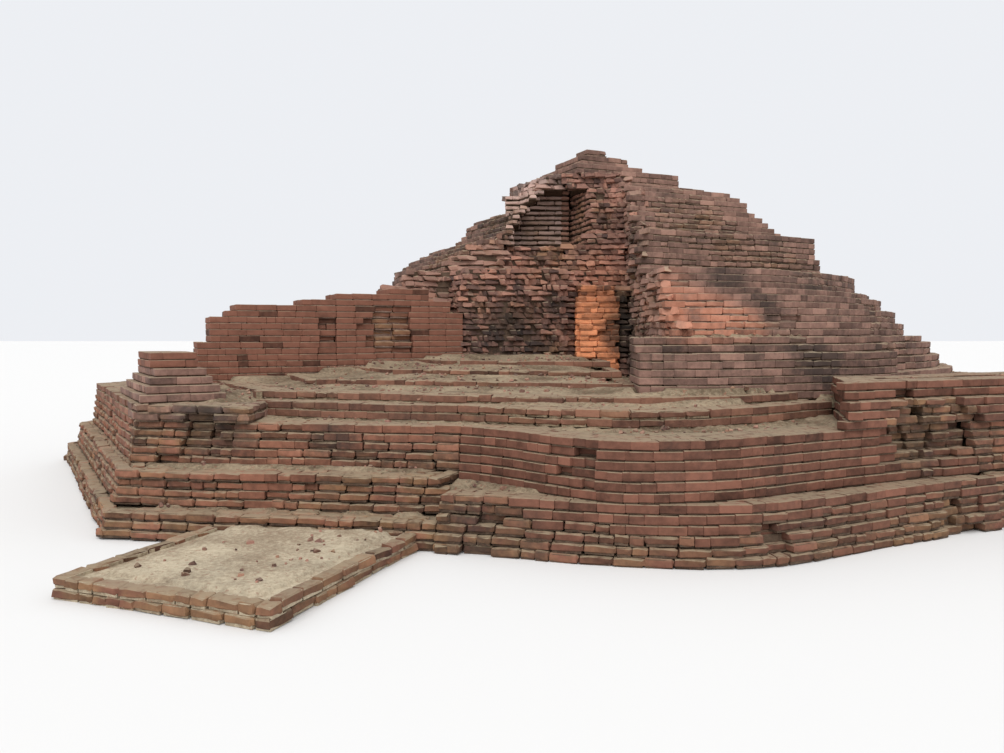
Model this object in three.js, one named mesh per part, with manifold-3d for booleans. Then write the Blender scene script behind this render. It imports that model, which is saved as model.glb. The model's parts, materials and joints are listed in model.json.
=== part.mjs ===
// A ruined brick stupa: an eight-sided stepped base, an earth terrace, and a round drum that
// carries a square stepped body. The front was robbed out, leaving a corbelled niche over a
// slope of broken core.
// Millimetres, +Z up. The origin is on the ground at the drum's axis, and the worn front,
// with the free-standing apron slab, faces -Y.
import * as THREE from 'three';
import { mergeVertices } from 'three/addons/utils/BufferGeometryUtils.js';
import Module from 'manifold-3d';

const kernel = await Module();
kernel.setup();

// One brick and its bed joint. Every height is counted in these courses.
const COURSE = 72;
// Clearance between neighbouring masses that meet on an upright face.
const JOINT = 0.3;
const HALF_JOINT = JOINT / 2;
// Sides of the polygon that stands for each round tier of the drum.
const DRUM_SIDES = 40;
// Points along the curved front wall.
const CURVE_POINTS = 13;
// A distance past the ruin on every side, and courses below and above it, for cutting regions.
const FAR = 9000;
const REGION = { from: -1, to: 80 };

// Courses where the base changes: foot, ledge of the curved wall, ledge of the wing,
// top of the walls, top of the terrace deck and top of the raised block.
const FOOT_TOP = 3;
const CURVE_LEDGE = 6;
const WING_LEDGE = 7;
const WALL_TOP = 12;
const DECK_TOP = 14;
const BLOCK_TOP = 17;
const WALL_TIERS = [[0, FOOT_TOP], [FOOT_TOP, CURVE_LEDGE], [CURVE_LEDGE, WING_LEDGE],
  [WING_LEDGE, WALL_TOP]];

// Ground corners of the base, anticlockwise from the front left. A curved wall runs from the
// end of the front's left wing to the straight front right.
const FRONT_LEFT = [-4430, -5730];
const WING_END = [-1720, -6080];
const CURVE_MIDDLE = [300, -6520];
const CURVE_END = [2810, -5350];
const FRONT_RIGHT = [5480, -4280];
const RIGHT = [6900, 850];
const BACK_RIGHT = [4280, 5480];
const BACK = [-850, 6900];
const BACK_LEFT = [-5480, 4280];
const LEFT = [-6900, -1650];

// The solid core inside the base walls is the footprint at this scale, and the backs of the
// walls lie just outside it.
const CORE_SCALE = 0.78;
const WALL_BACK_SCALE = CORE_SCALE + 0.0001;

// Set-backs of the straight base sides from their ground line, one for each wall tier, and
// the set-back of the terrace deck behind them.
const HIDDEN = { tiers: [0, 250, 250, 560], deck: 700 };
const LEFT_SIDE = { tiers: [0, 120, 120, 280], deck: 320 };
const WING = { tiers: [0, 250, 250, 600], deck: 600 };
const FRONT_RIGHT_SIDE = { tiers: [0, 20, 205, 205], deck: 1150 };

// The straight sides, from the end of the curved wall round the back to the wing.
const SIDES = [
  { name: 'front_right_wall', start: CURVE_END, end: FRONT_RIGHT, setback: FRONT_RIGHT_SIDE },
  { name: 'right_wall', start: FRONT_RIGHT, end: RIGHT, setback: HIDDEN },
  { name: 'back_right_wall', start: RIGHT, end: BACK_RIGHT, setback: HIDDEN },
  { name: 'back_wall', start: BACK_RIGHT, end: BACK, setback: HIDDEN },
  { name: 'back_left_wall', start: BACK, end: BACK_LEFT, setback: HIDDEN },
  { name: 'far_left_wall', start: BACK_LEFT, end: LEFT, setback: HIDDEN },
  { name: 'left_wall', start: LEFT, end: FRONT_LEFT, setback: LEFT_SIDE },
  { name: 'wing_wall', start: FRONT_LEFT, end: WING_END, setback: WING },
];

// Where the wing meets the curved wall, below and above the ledge of the curved wall. Each
// point lies on a line to the back corner that both walls share.
const PARTING = { lower: [-1800, -6065], upper: [-1642, -5485] };

// A plan point a joint to one side of another.
const beside = ([x, y], side) => [x + side * JOINT, y];

// Plan lines of the curved wall below and above its ledge, the scale that sets its upper end
// back towards the axis, how far its lower courses stand out, and the deck's front edge.
const LOWER_CURVE = [beside(PARTING.lower, 1), [-1030, -6270], [-280, -6450], [420, -6480],
  [1030, -6230], [1760, -5830], beside(CURVE_END, -1)];
const UPPER_END_SCALE = 0.965;
const UPPER_CURVE = [beside(PARTING.upper, 1), [-1320, -5690], [-900, -6080], [-490, -6340],
  [90, -6350], [520, -6220], [1410, -5700],
  beside(CURVE_END.map((length) => length * UPPER_END_SCALE), -1)];
const LEAN = { lower: 50, upper: 40, courses: 3 };
const DECK_EDGE = [[-3410, -4700], [-2600, -4930], [-1700, -5120], [-900, -5500],
  [-300, -5650], [200, -5620], [760, -5330]];

// The corner platform beside the wing, and the raised block at the right: the line of its left
// end, where the deck's edge meets it, and [set-back, from course, to course] of its tiers.
const PLATFORM = { end: -3411, back: -4701 };
const BLOCK = { end: [[1440, -5510], [1850, -4130]], deckMeets: -4710,
  tiers: [[180, WALL_TOP, 15], [330, 15, BLOCK_TOP]] };

// The raised corner: low steps and a block that follow the left side of the base.
const CORNER_STEP = { start: [-4400, -5060], count: 4, width: 720, length: 1500, narrower: 90,
  shorter: 150, back: 95 };
const CORNER_BLOCK = { start: [-4470, -4690], width: 410, length: 820, from: 18, to: 20 };
// Earth is kept this far from the raised corner.
const CORNER_MARGIN = 200;

// Low one-course steps of the terrace, each an outline in plan.
const TERRACE_STEPS = [
  [[-4750, -3300], [-3900, -4350], [-1700, -4900], [-200, -5250], [900, -4950], [1370, -4700],
    [0, 0], [-4500, -1500]],
  [[-3800, -2650], [-3300, -3700], [-1500, -4150], [-70, -4500], [0, 0], [-3000, -1200]],
  [[-3100, -2300], [-2500, -3100], [-1200, -3500], [-70, -3700], [0, 0], [-2500, -1200]],
  [[-2400, -2000], [-1900, -2500], [-1000, -2700], [-70, -2800], [0, 0], [-2000, -1000]],
];

// The drum: [radius, from course, to course] of its tiers. Below they are round. Above they are
// square, with the radius to their corners. The west side is worn lower, and turns square
// sooner.
const FOOT_TIERS = [[4800, 14, 20], [4620, 20, 21], [4450, 21, 22]];
const WORN_FOOT_TIERS = [[4700, 14, 17], [4550, 17, 19], [4450, 19, 21], [4350, 21, 22]];
const LOWER_TIERS = [[4170, 14, 24], [4060, 24, 26], [3890, 26, 28], [3750, 28, 29], [3580, 29, 32]];
const UPPER_TIERS = [[3500, 32, 33], [3150, 33, 36], [3080, 36, 40], [2640, 40, 41],
  [2560, 41, 42], [2480, 42, 43], [2400, 43, 44], [2300, 44, 45], [2200, 45, 47], [2100, 47, 48],
  [1970, 48, 49], [1620, 49, 50], [1270, 50, 53]];
const WEST_LOWER_TIERS = [[4170, 14, 24], [3550, 24, 28], [3100, 28, 31], [2860, 31, 34]];
const WEST_SQUARE_TIERS = [[3500, 28, 31], [3280, 31, 34]];
const WEST_UPPER_TIERS = [[3240, 34, 36], [3090, 36, 37], [2980, 37, 38], [2790, 38, 39],
  [2620, 39, 40], [2260, 40, 41], [2170, 41, 42], [2070, 42, 43], [1990, 43, 45], [1860, 45, 46],
  [1590, 46, 47], [1450, 47, 50]];
const FOOT_INNER = LOWER_TIERS[0][0];

// The foot of the drum goes round in sectors, [from, to] in degrees anticlockwise from +X,
// with a hair's angle free between them. It is gone before the hollow, and worn at the right.
const FOOT_SECTORS = { front: [-91, -57], right: [-57, 12], back_right: [12, 62],
  back: [62, 112], back_left: [112, 162], left: [162, 198] };
const SECTOR_JOINT = 0.01;

// The robbed hollow in the drum's front: its east and west cheeks, its back and the line where
// its two heaps of core meet.
const EAST_CHEEK = 330;
const WEST_CHEEK = -1250;
const HOLLOW_BACK = 400;
const MEETING = -430;

// The core left in the hollow. The west heap has [front, from course, to course] and turns
// behind the flank wall at its shoulder. The east heap has [west end of the front, front, from
// course, to course], so its west side is splayed, and a pier was rebuilt against it.
const WEST_RUBBLE = [[-1450, 14, 30], [-1300, 30, 34], [-1000, 34, 37], [-780, 37, 39]];
const WEST_SHOULDER = -1050;
const EAST_RUBBLE = [[-430, -1190, 14, 31], [-200, -1190, 31, 34], [-160, -1050, 34, 41],
  [-90, -900, 41, 47], [-110, -800, 47, 50], [-429, -720, 50, 53]];
const EAST_FRONT = EAST_RUBBLE[0][1];
const PIER = { west: -350, east: 220, front: -1560, from: 14, to: 31 };

// The niche above the west heap: its back, the corbelled cheek with [edge, from course, to
// course], and the hood over it with [radius, from course, to course].
const NICHE_BACK = { front: -150, from: 39, to: 50 };
const NICHE_CHEEK = { front: -820, tiers: [[-1130, 39, 43], [-1050, 43, 46], [-950, 46, 48],
  [-820, 48, 50]] };
const NICHE_HOOD = { front: -650, tiers: [[1360, 50, 51], [1310, 51, 52], [1270, 52, 53]] };

// The crown: [radius, from course, to course] of its square tiers.
const CROWN_TIERS = [[760, 53, 55], [550, 55, 57], [230, 57, 59]];

// The wall left of the hollow runs back from its outer end at this slant, in radians. Each of
// its lengths is a list of [from, to, top course] along the wall.
const FLANK = { start: [-4630, -2900], slant: 0.4305, thickness: 600 };
const FLANK_LENGTHS = {
  outer: [[-80, 60, 21], [60, 250, 25], [250, 340, 26], [340, 1089, 27], [1089, 1489, 28]],
  middle: [[1490, 2150, 29], [2150, 2659, 30]],
  inner: [[2660, 2950, 28], [2950, 3114, 26]],
};
const FLANK_END = FLANK_LENGTHS.inner.at(-1)[1];

// The apron slab before the wing: its two free corners and its height in courses.
const APRON = { left: [-4050, -7130], front: [-2550, -7700], courses: 2 };

// Materials

const brick = (color, roughness = 0.95) =>
  new THREE.MeshStandardMaterial({ color, roughness, metalness: 0 });

const oldBrick = () => brick(0x6b3a2c);
const stainedBrick = () => brick(0x4a302a);
const relaidBrick = () => brick(0x8a4130);
const orangeBrick = () => brick(0xb4562c);
const rubble = () => brick(0x573427, 1);
const dryEarth = () => brick(0x8d7a5c, 1);

// Solids

const stupa = new THREE.Group();
stupa.name = 'stupa';

// The closed solid of a geometry, with its shared corners merged.
function solidOf(geometry) {
  const bare = geometry.clone();
  bare.deleteAttribute('normal');
  bare.deleteAttribute('uv');
  const merged = mergeVertices(bare, 1e-3);
  return new kernel.Manifold(new kernel.Mesh({
    numProp: 3,
    vertProperties: new Float32Array(merged.attributes.position.array),
    triVerts: new Uint32Array(merged.index.array),
  }));
}

// An upright prism over a plan outline, between two course counts.
function prism(outline, from, to) {
  const shape = new THREE.Shape(outline.map(([x, y]) => new THREE.Vector2(x, y)));
  const depth = (to - from) * COURSE;
  const geometry = new THREE.ExtrudeGeometry(shape, { depth, bevelEnabled: false });
  geometry.translate(0, 0, from * COURSE);
  return solidOf(geometry);
}

// A plan region as a prism through the whole ruin, for cutting.
const region = (outline) => prism(outline, REGION.from, REGION.to);

const union = (solids) => solids.reduce((whole, next) => whole.add(next));

// Adds one named mass of masonry to the stupa.
function addMass(name, solid, material) {
  const mesh = solid.getMesh();
  const geometry = new THREE.BufferGeometry();
  geometry.setAttribute('position', new THREE.BufferAttribute(mesh.vertProperties, 3));
  geometry.setIndex(new THREE.BufferAttribute(mesh.triVerts, 1));
  geometry.computeVertexNormals();
  const node = new THREE.Mesh(geometry, material);
  node.name = name;
  stupa.add(node);
}

// Plan geometry

const scaled = ([x, y], factor) => [x * factor, y * factor];

// Upright and level plan lines, each through two points.
const lineAtX = (x) => [[x, 0], [x, 1]];
const lineAtY = (y) => [[0, y], [1, y]];

// A line through two plan points, moved to its left, towards the axis on the base's outline.
function movedLine([ax, ay], [bx, by], distance) {
  const length = Math.hypot(bx - ax, by - ay);
  const [nx, ny] = [-(by - ay) / length * distance, (bx - ax) / length * distance];
  return [[ax + nx, ay + ny], [bx + nx, by + ny]];
}

function crossing([[ax, ay], [bx, by]], [[cx, cy], [dx, dy]]) {
  const across = (bx - ax) * (dy - cy) - (by - ay) * (dx - cx);
  const t = ((cx - ax) * (dy - cy) - (cy - ay) * (dx - cx)) / across;
  return [ax + (bx - ax) * t, ay + (by - ay) * t];
}

// Two plan points drawn together by half a joint at each end.
function eased([ax, ay], [bx, by]) {
  const length = Math.hypot(bx - ax, by - ay);
  const [ux, uy] = [(bx - ax) / length * HALF_JOINT, (by - ay) / length * HALF_JOINT];
  return [[ax + ux, ay + uy], [bx - ux, by - uy]];
}

// A convex anticlockwise outline grown on every side.
function grown(outline, by) {
  const side = (i) => movedLine(outline.at(i - 1), outline[i], -by);
  return outline.map((_, i) => crossing(side(i), side((i + 1) % outline.length)));
}

const box = (west, east, south, north) => [[west, south], [east, south], [east, north], [west, north]];

// A rectangle from its first corner, along a direction and then to the left of it.
function rectangle([x, y], slant, length, width) {
  const [ux, uy] = [Math.cos(slant), Math.sin(slant)];
  return [[x, y], [x + ux * length, y + uy * length],
    [x + ux * length - uy * width, y + uy * length + ux * width], [x - uy * width, y + ux * width]];
}

// A regular polygon round the axis, with its first corner at a bearing in radians.
function polygon(radius, sides, bearing) {
  return Array.from({ length: sides }, (_, i) => {
    const angle = bearing + (i / sides) * 2 * Math.PI;
    return [radius * Math.cos(angle), radius * Math.sin(angle)];
  });
}

const ring = (radius) => polygon(radius, DRUM_SIDES, 0);
// The square tiers stand parallel to the flank wall.
const square = (radius) => polygon(radius, 4, FLANK.slant - Math.PI / 4);

// A plan wedge between two bearings in degrees, anticlockwise from +X.
function wedge(from, to) {
  const at = (degrees) => {
    const angle = THREE.MathUtils.degToRad(degrees);
    return [FAR * Math.cos(angle), FAR * Math.sin(angle)];
  };
  return [[0, 0], at(from), at(to)];
}

// Base walls

const tierLine = ({ start, end, setback }, tier) => movedLine(start, end, setback.tiers[tier]);
const deckLine = ({ start, end, setback }, clear = 0) => movedLine(start, end, setback.deck + clear);

// The line from a parting point to the back corner of the wing.
const partingLine = (from) => [
  from < CURVE_LEDGE ? PARTING.lower : PARTING.upper,
  scaled(WING_END, WALL_BACK_SCALE),
];

// One straight side of the base in stepped tiers, mitred to the sides before and after it.
// The first side is square where it meets the curved wall, and the last ends at the parting.
function straightWall(index) {
  const side = SIDES[index];
  const before = index > 0 ? SIDES[index - 1] : null;
  const after = SIDES[index + 1];
  const inner = eased(scaled(side.start, WALL_BACK_SCALE), scaled(side.end, WALL_BACK_SCALE));
  return union(WALL_TIERS.map(([from, to], tier) => {
    const own = tierLine(side, tier);
    const first = before ? crossing(tierLine(before, tier), own) : own[0];
    const last = crossing(own, after ? tierLine(after, tier) : partingLine(from));
    const outer = eased(first, last);
    return prism([outer[0], outer[1], inner[1], inner[0]], from, to);
  }));
}

// A smooth plan line through the given points, moved outwards where the wall leans.
function smoothLine(points, outwards) {
  const curve = new THREE.SplineCurve(points.map(([x, y]) => new THREE.Vector2(x, y)));
  return curve.getPoints(CURVE_POINTS - 1).map(({ x, y }) => {
    const factor = 1 + outwards / Math.hypot(x, y);
    return [x * factor, y * factor];
  });
}

// One tier of the curved wall, between a smooth front and the two-sided core behind it.
function curvedTier(points, outwards, from, to) {
  const [right, middle, left] = [CURVE_END, CURVE_MIDDLE, WING_END].map((corner) => (
    scaled(corner, WALL_BACK_SCALE)));
  const inner = [eased(right, middle)[0], middle, eased(middle, left)[1]];
  return prism([...smoothLine(points, outwards), ...inner], from, to);
}

// The lower courses of each part of the curved wall lean out.
function curvedWall(points, lean, from, to) {
  const upright = from + LEAN.courses;
  return union([curvedTier(points, lean, from, upright), curvedTier(points, 0, upright, to)]);
}

function addBaseWalls() {
  addMass('curved_wall_lower', curvedWall(LOWER_CURVE, LEAN.lower, 0, CURVE_LEDGE), relaidBrick());
  addMass('curved_wall_upper', curvedWall(UPPER_CURVE, LEAN.upper, CURVE_LEDGE, WALL_TOP),
    relaidBrick());
  SIDES.forEach(({ name }, index) => addMass(name, straightWall(index), oldBrick()));
}

// Terrace

// A rectangle that runs back from its corner along the left side of the base.
function alongLeft(start, length, width) {
  const slant = Math.atan2(LEFT[1] - FRONT_LEFT[1], LEFT[0] - FRONT_LEFT[0]);
  return rectangle(start, slant, length, -width).reverse();
}

function addCore() {
  const corners = [FRONT_LEFT, WING_END, CURVE_MIDDLE, CURVE_END, FRONT_RIGHT, RIGHT, BACK_RIGHT,
    BACK, BACK_LEFT, LEFT];
  const outline = corners.map((corner) => scaled(corner, CORE_SCALE));
  addMass('terrace_core', prism(outline, 0, WALL_TOP), dryEarth());
}

// The deck fills the terrace behind the platform at the left and the block at the right.
function addDeck() {
  const sides = SIDES.slice(0, -1);
  const lines = sides.map((side) => deckLine(side, side.setback === FRONT_RIGHT_SIDE ? JOINT : 0));
  const corners = lines.slice(1).map((line, i) => crossing(lines[i], line));
  const blockEnd = movedLine(...BLOCK.end, JOINT);
  addMass('terrace_deck', prism([
    crossing(lines.at(-1), lineAtY(PLATFORM.back + JOINT)),
    ...DECK_EDGE,
    crossing(blockEnd, lineAtY(BLOCK.deckMeets)),
    crossing(lines[0], blockEnd),
    ...corners,
  ], WALL_TOP, DECK_TOP), dryEarth());
}

function addPlatform() {
  const [left, wing] = SIDES.slice(-2).map((side) => deckLine(side));
  const [end, back] = [lineAtX(PLATFORM.end), lineAtY(PLATFORM.back)];
  const outline = [crossing(left, wing), crossing(wing, end), crossing(end, back), crossing(back, left)];
  addMass('corner_platform', prism(outline, WALL_TOP, DECK_TOP), stainedBrick());
}

function addBlock() {
  const [front, right] = SIDES;
  const inner = deckLine(front);
  const rightDeck = deckLine(right);
  addMass('right_block', union(BLOCK.tiers.map(([setback, from, to]) => {
    const face = movedLine(front.start, front.end, setback);
    return prism([crossing(face, BLOCK.end), crossing(face, rightDeck),
      crossing(inner, rightDeck), crossing(inner, BLOCK.end)], from, to);
  })), relaidBrick());
}

// The low steps and the block at the wing's outer corner.
function addCorner() {
  const { start: [x, y], count, width, length, narrower, shorter, back } = CORNER_STEP;
  const steps = Array.from({ length: count }, (_, i) => {
    const outline = alongLeft([x, y + back * i], length - shorter * i, width - narrower * i);
    return prism(outline, DECK_TOP + i, DECK_TOP + i + 1);
  });
  addMass('corner_steps', union(steps), stainedBrick());
  const block = CORNER_BLOCK;
  addMass('corner_block', prism(alongLeft(block.start, block.length, block.width), block.from,
    block.to), relaidBrick());
}

// The apron slab runs back to the foot of the wing.
function addApron() {
  const wingFoot = movedLine(FRONT_LEFT, WING_END, -JOINT);
  const [dx, dy] = [APRON.front[0] - APRON.left[0], APRON.front[1] - APRON.left[1]];
  const backFrom = ([x, y]) => [[x, y], [x - dy, y + dx]];
  addMass('apron_slab', prism([APRON.left, APRON.front, crossing(backFrom(APRON.front), wingFoot),
    crossing(backFrom(APRON.left), wingFoot)], 0, APRON.courses), relaidBrick());
}

// Flank wall

// A plan point on the flank wall, along its front face and behind it.
function flankPoint(along, behind) {
  const { start: [x, y], slant } = FLANK;
  return [x + Math.cos(slant) * along - Math.sin(slant) * behind,
    y + Math.sin(slant) * along + Math.cos(slant) * behind];
}

function addFlank() {
  for (const [place, pieces] of Object.entries(FLANK_LENGTHS)) {
    const solids = pieces.map(([from, to, top]) => (
      prism(rectangle(flankPoint(from, 0), FLANK.slant, to - from, FLANK.thickness), DECK_TOP, top)));
    addMass(`flank_wall_${place}`, union(solids), relaidBrick());
  }
}

// Drum

const tiersOf = (tiers, plan) => union(tiers.map(([radius, from, to]) => (
  prism(plan(radius), from, to))));

const behindHollow = HOLLOW_BACK - HALF_JOINT;
const eastRegion = region(box(EAST_CHEEK, FAR, -FAR, behindHollow));
const backRegion = region(box(WEST_CHEEK, FAR, HOLLOW_BACK + HALF_JOINT, FAR));
// The west side lies behind the flank wall and the west heap, and runs round to the back.
const westRegion = region([[-FAR, FAR], flankPoint(-FAR, FLANK.thickness + JOINT),
  flankPoint(FLANK_END, FLANK.thickness + JOINT), [WEST_CHEEK - JOINT, WEST_SHOULDER],
  [WEST_CHEEK - JOINT, FAR]]);

const westBody = tiersOf(WEST_UPPER_TIERS, square);

function addDrum() {
  const lower = tiersOf(LOWER_TIERS, ring);
  const upper = tiersOf(UPPER_TIERS, square);
  const westLower = tiersOf(WEST_LOWER_TIERS, ring).add(tiersOf(WEST_SQUARE_TIERS, square));
  addMass('drum_east_lower', lower.intersect(eastRegion), stainedBrick());
  addMass('drum_east_upper', upper.intersect(eastRegion), stainedBrick());
  addMass('drum_back_lower', lower.intersect(backRegion), stainedBrick());
  addMass('drum_back_upper', upper.intersect(backRegion), stainedBrick());
  addMass('drum_west_lower', westLower.intersect(westRegion), stainedBrick());
  addMass('drum_west_upper', westBody.intersect(westRegion), stainedBrick());
}

function addDrumFoot() {
  const inside = region(ring(FOOT_INNER + JOINT));
  for (const [side, [from, to]] of Object.entries(FOOT_SECTORS)) {
    const tiers = side === 'right' ? WORN_FOOT_TIERS : FOOT_TIERS;
    const sector = region(wedge(from, to - SECTOR_JOINT));
    addMass(`drum_foot_${side}`, tiersOf(tiers, ring).subtract(inside).intersect(sector),
      stainedBrick());
  }
}

// Hollow and crown

// The west heap turns round the end of the flank wall at its foot.
function westHeapOutline(front) {
  const east = MEETING - JOINT;
  if (front > WEST_SHOULDER) {
    return box(WEST_CHEEK, east, front, behindHollow);
  }
  return [flankPoint(FLANK_END + JOINT, 0), [east, front], [east, behindHollow],
    [WEST_CHEEK, behindHollow], [WEST_CHEEK, WEST_SHOULDER - 2 * JOINT],
    flankPoint(FLANK_END + JOINT, FLANK.thickness)];
}

function addHollow() {
  addMass('rubble_core_west', union(WEST_RUBBLE.map(([front, from, to]) => (
    prism(westHeapOutline(front), from, to)))), rubble());
  addMass('rubble_core_east', union(EAST_RUBBLE.map(([west, front, from, to]) => prism([
    [west, front],
    [EAST_CHEEK - JOINT, front],
    [EAST_CHEEK - JOINT, behindHollow],
    [MEETING, behindHollow],
  ], from, to))), rubble());
  const { west, east, front, from, to } = PIER;
  addMass('repaired_pier', prism(box(west, east, front, EAST_FRONT - JOINT), from, to), orangeBrick());
}

function addNiche() {
  const { front, from, to } = NICHE_BACK;
  const east = MEETING - JOINT;
  const back = prism(box(WEST_CHEEK, east, front, behindHollow), from, to);
  const cheek = union(NICHE_CHEEK.tiers.map(([edge, low, high]) => (
    prism(box(WEST_CHEEK, edge, NICHE_CHEEK.front, front - JOINT), low, high))));
  const hood = region(box(-FAR, east, NICHE_HOOD.front, behindHollow));
  addMass('niche_back', back.intersect(westBody), stainedBrick());
  addMass('niche_cheek', cheek.intersect(westBody), stainedBrick());
  addMass('niche_hood', tiersOf(NICHE_HOOD.tiers, square).intersect(hood), stainedBrick());
}

function addCrown() {
  addMass('crown', tiersOf(CROWN_TIERS, square), stainedBrick());
}

// Terrace steps, cut to the masses that stand among them

function addTerraceSteps() {
  const [footFrom] = FOOT_SECTORS.front;
  const drumFoot = region(ring(FOOT_TIERS[0][0] + JOINT)).intersect(region(wedge(
    footFrom - SECTOR_JOINT, 0)));
  const westFront = WEST_RUBBLE[0][0];
  const westDrum = region(ring(WEST_LOWER_TIERS[0][0] + JOINT)).intersect(region(
    box(-FAR, WEST_CHEEK, westFront, FAR)));
  const flank = rectangle(flankPoint(-FAR, -JOINT), FLANK.slant, FAR + FLANK_END + JOINT, FAR);
  const corner = alongLeft(CORNER_BLOCK.start, CORNER_STEP.length, CORNER_STEP.width);
  const taken = union([
    drumFoot,
    westDrum,
    region(flank),
    region(grown(westHeapOutline(westFront), JOINT)),
    region(box(MEETING - JOINT, FAR, EAST_FRONT - JOINT, FAR)),
    region(box(PIER.west - JOINT, PIER.east + JOINT, PIER.front - JOINT, 0)),
    region(box(EAST_CHEEK - JOINT, FAR, -FOOT_INNER, FAR)),
    region(grown(corner, CORNER_MARGIN)),
  ]);
  TERRACE_STEPS.forEach((outline, i) => {
    const step = prism(outline, DECK_TOP + i, DECK_TOP + i + 1);
    addMass(`terrace_step_${i + 1}`, step.subtract(taken), dryEarth());
  });
}

addBaseWalls();
addCore();
addDeck();
addPlatform();
addBlock();
addCorner();
addApron();
addTerraceSteps();
addDrum();
addDrumFoot();
addFlank();
addHollow();
addNiche();
addCrown();

export default stupa;
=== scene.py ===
# %% [markdown]
# # A ruined brick stupa, laid course by course
#
# The solid masses of the ruin are already fixed in the frame: a stepped eight-sided base, an
# earth terrace, and a round drum that carries a square body, robbed out at the front. What is
# missing is the brickwork, the broken core in the hollow and the earth on the terrace.
#
# Some twelve thousand bricks could be placed by hand, but they are better laid by rule, as a
# mason lays them: a few patterns are modelled once, the plan of each course is read from the
# solids, and the patterns are set along it with small faults.

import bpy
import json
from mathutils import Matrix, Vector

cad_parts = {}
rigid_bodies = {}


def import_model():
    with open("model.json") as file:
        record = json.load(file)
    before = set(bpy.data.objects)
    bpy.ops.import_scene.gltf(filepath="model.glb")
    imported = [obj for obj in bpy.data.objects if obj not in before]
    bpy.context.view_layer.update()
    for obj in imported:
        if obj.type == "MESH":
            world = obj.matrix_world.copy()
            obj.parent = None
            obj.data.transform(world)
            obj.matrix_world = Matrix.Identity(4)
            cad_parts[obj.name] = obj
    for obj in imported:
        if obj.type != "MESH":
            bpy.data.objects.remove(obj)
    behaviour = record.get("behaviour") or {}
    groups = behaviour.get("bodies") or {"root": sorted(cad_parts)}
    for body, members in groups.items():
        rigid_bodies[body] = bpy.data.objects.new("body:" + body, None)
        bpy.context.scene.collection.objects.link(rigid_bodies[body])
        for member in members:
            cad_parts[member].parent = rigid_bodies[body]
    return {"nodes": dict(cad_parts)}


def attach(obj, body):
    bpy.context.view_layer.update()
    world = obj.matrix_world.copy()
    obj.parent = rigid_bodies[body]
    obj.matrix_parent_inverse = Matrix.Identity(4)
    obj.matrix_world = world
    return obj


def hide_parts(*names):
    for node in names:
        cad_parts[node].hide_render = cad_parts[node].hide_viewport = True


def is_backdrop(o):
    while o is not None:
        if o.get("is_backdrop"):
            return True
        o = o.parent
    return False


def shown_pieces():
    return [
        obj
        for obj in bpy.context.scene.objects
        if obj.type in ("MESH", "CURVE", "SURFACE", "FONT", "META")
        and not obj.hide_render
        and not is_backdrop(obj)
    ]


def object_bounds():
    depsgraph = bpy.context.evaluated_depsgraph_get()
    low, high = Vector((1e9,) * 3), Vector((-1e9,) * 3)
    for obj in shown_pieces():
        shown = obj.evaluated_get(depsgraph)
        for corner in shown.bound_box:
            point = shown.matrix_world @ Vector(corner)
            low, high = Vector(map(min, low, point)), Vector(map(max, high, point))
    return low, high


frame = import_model()
cad_box = [list(corner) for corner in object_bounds()]

import json
import math
import random
from collections import namedtuple

import bpy
import numpy as np
from mathutils import Vector, noise

print("solid masses:", len(frame["nodes"]))

# %% [markdown]
# ## The eye, the light and the floor
#
# The level courses of a brick wall tell where the eye was: they all meet the horizon at one
# height, and their spacing gives the distance. The camera stands at a person's eye height and
# looks slightly down. An overcast sky is soft and comes mostly from above, so one broad sun and
# a pale world take its place, which also serve the views from the side and from behind.

# %% Camera, light and floor
EYE = (-1.3, -12.0, 1.62)
LOOK_DOWN = math.radians(3.07)
FOCAL_PIXELS = 812
PICTURE_WIDTH = 1004
SENSOR = 36.0
SUN_LEANS = (math.radians(36), math.radians(-6), 0)

bpy.ops.object.camera_add(location=EYE, rotation=(math.pi / 2 - LOOK_DOWN, 0, 0))
camera = bpy.context.object
camera.data.sensor_width = SENSOR
camera.data.lens = SENSOR * FOCAL_PIXELS / PICTURE_WIDTH
camera.data.clip_end = 400
bpy.context.scene.camera = camera

bpy.ops.object.light_add(type="SUN", rotation=SUN_LEANS)
bpy.context.object.data.energy = 2.0
bpy.context.object.data.angle = math.radians(60)

world = bpy.data.worlds.new("pale_sky")
bpy.context.scene.world = world
world.use_nodes = True
sky = world.node_tree.nodes["Background"].inputs
sky["Color"].default_value = (0.94, 0.96, 1.0, 1)
sky["Strength"].default_value = 0.9
bpy.context.scene.view_settings.view_transform = "Standard"

bpy.ops.mesh.primitive_plane_add(size=300)
floor = bpy.context.object
floor.name = "studio_floor"
floor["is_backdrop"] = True
print("focal length:", round(camera.data.lens, 1), "mm")

# %% [markdown]
# ## Tools for the bench
#
# Blender's operators work on whatever is selected, and loading the frame leaves all its solids
# selected. So every step starts by leaving one object selected, and edit mode is opened and
# closed around the work. The corners of a mesh are read in one go, as rows of numbers.

# %% Select, edit, join and measure
def only(piece):
    """Leaves one object selected and active."""
    bpy.ops.object.select_all(action="DESELECT")
    piece.select_set(True)
    bpy.context.view_layer.objects.active = piece


def edit_all(piece):
    """Opens a piece for editing with everything selected."""
    only(piece)
    bpy.ops.object.mode_set(mode="EDIT")
    bpy.ops.mesh.select_all(action="SELECT")


def joined(parts):
    """Joins several objects into the first."""
    only(parts[0])
    for part in parts:
        part.select_set(True)
    bpy.ops.object.join()
    return parts[0]


def corners_of(piece):
    """The places of a piece's corners, one row each."""
    corners = np.empty(len(piece.data.vertices) * 3)
    piece.data.vertices.foreach_get("co", corners)
    return corners.reshape(-1, 3)


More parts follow.
